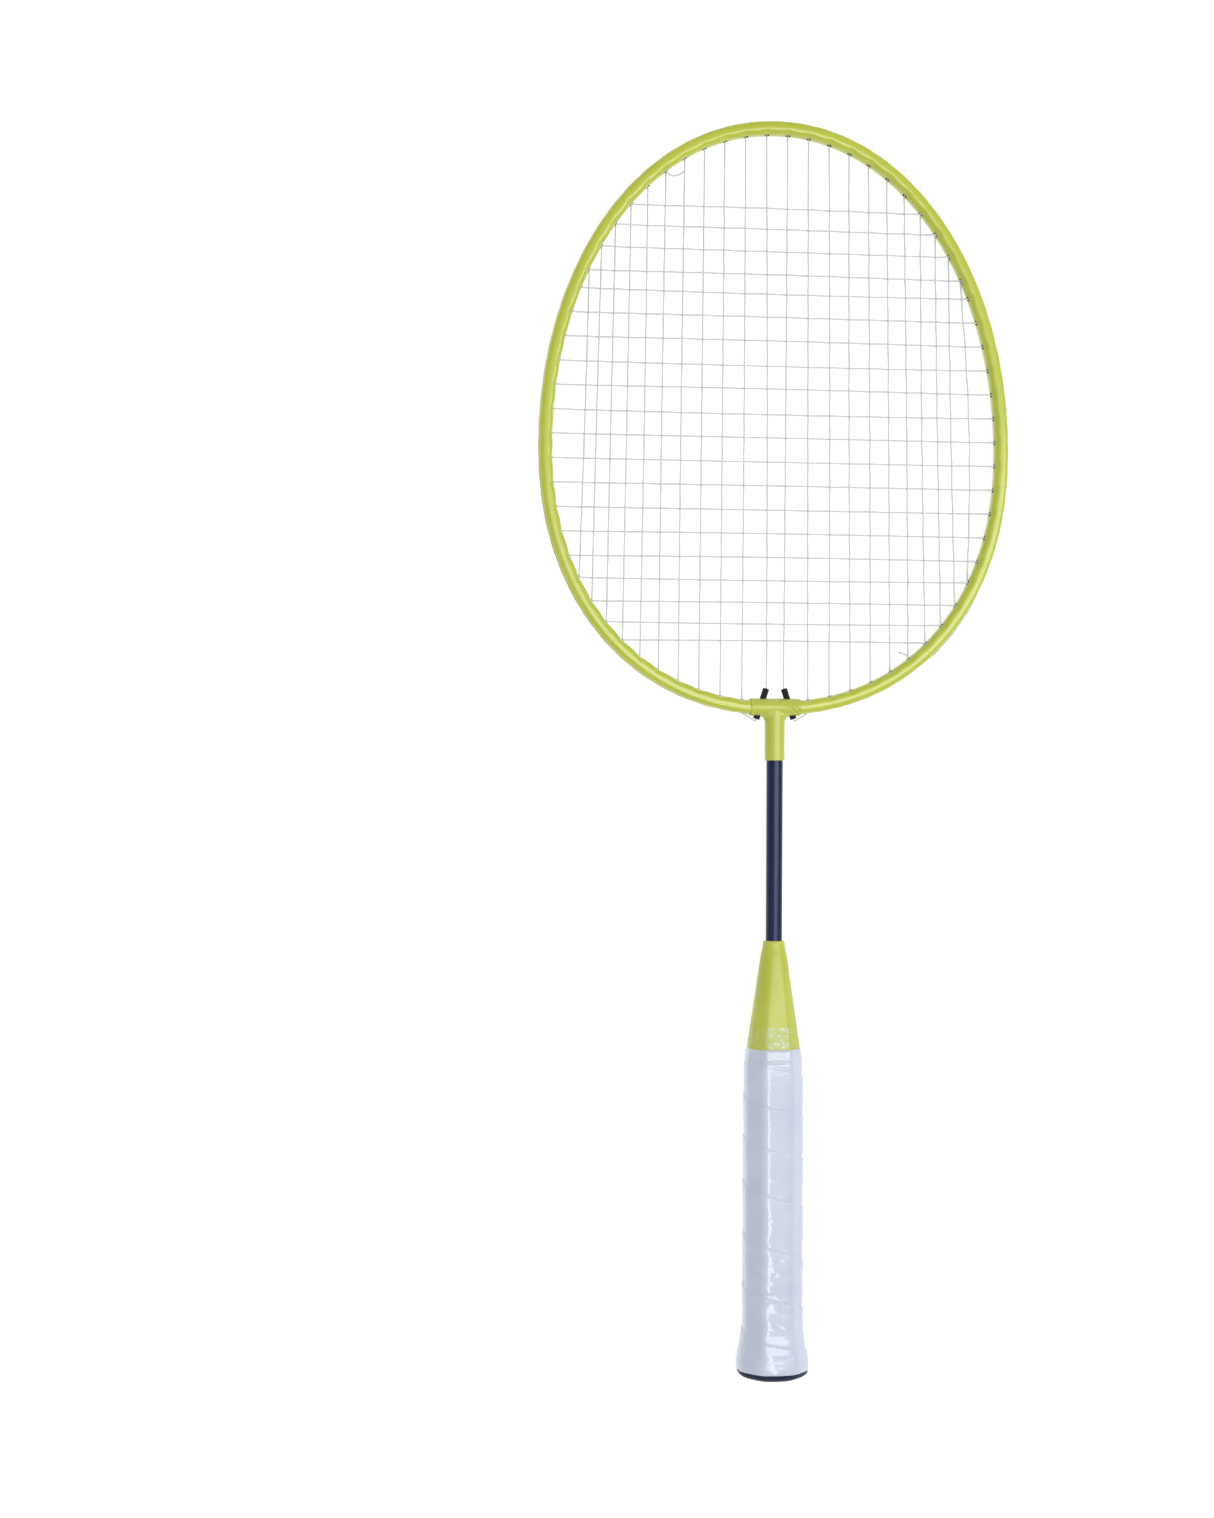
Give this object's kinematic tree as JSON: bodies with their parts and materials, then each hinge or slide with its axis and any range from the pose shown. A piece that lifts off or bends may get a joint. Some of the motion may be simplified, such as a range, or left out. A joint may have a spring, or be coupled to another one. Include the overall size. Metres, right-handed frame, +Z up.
{
  "type": "badminton racket",
  "caption": "Junior badminton racket: lime steel head strung with nylon, T-joint, slim dark shaft, lime cone and flared octagonal grip.",
  "frame": {"origin": "middle of the racket's footprint, on the surface that it lies on", "axes": "+Y along the racket from the butt to the head's tip, +X across the head, +Z up out of the string bed"},
  "size_m": [0.2008, 0.53, 0.0279],
  "materials": {
    "frame_paint": "gloss lime paint",
    "joint_paint": "gloss lime paint",
    "tube_rubber": "ribbed black",
    "string_nylon": "translucent white nylon",
    "shaft_paint": "gloss navy paint",
    "cone_plastic": "satin lime plastic",
    "clear_tape": "clear adhesive film",
    "core_wood": "bare wood",
    "steel": "bright steel",
    "grip_leatherette": "glossy pale blue-grey synthetic leather",
    "cap_plastic": "dark navy plastic"
  },
  "bodies": {
    "root": {"head_frame": "frame_paint", "t_joint": "joint_paint", "string_tube_left": "tube_rubber", "string_tube_right": "tube_rubber", "main_string": "string_nylon", "cross_string": "string_nylon", "shaft": "shaft_paint", "cone": "cone_plastic", "finishing_tape": "clear_tape", "handle_core": "core_wood", "handle_pin": "steel", "wrap_tack": "steel", "grip_wrap": "grip_leatherette", "butt_cap": "cap_plastic"}
  },
  "joints": []
}
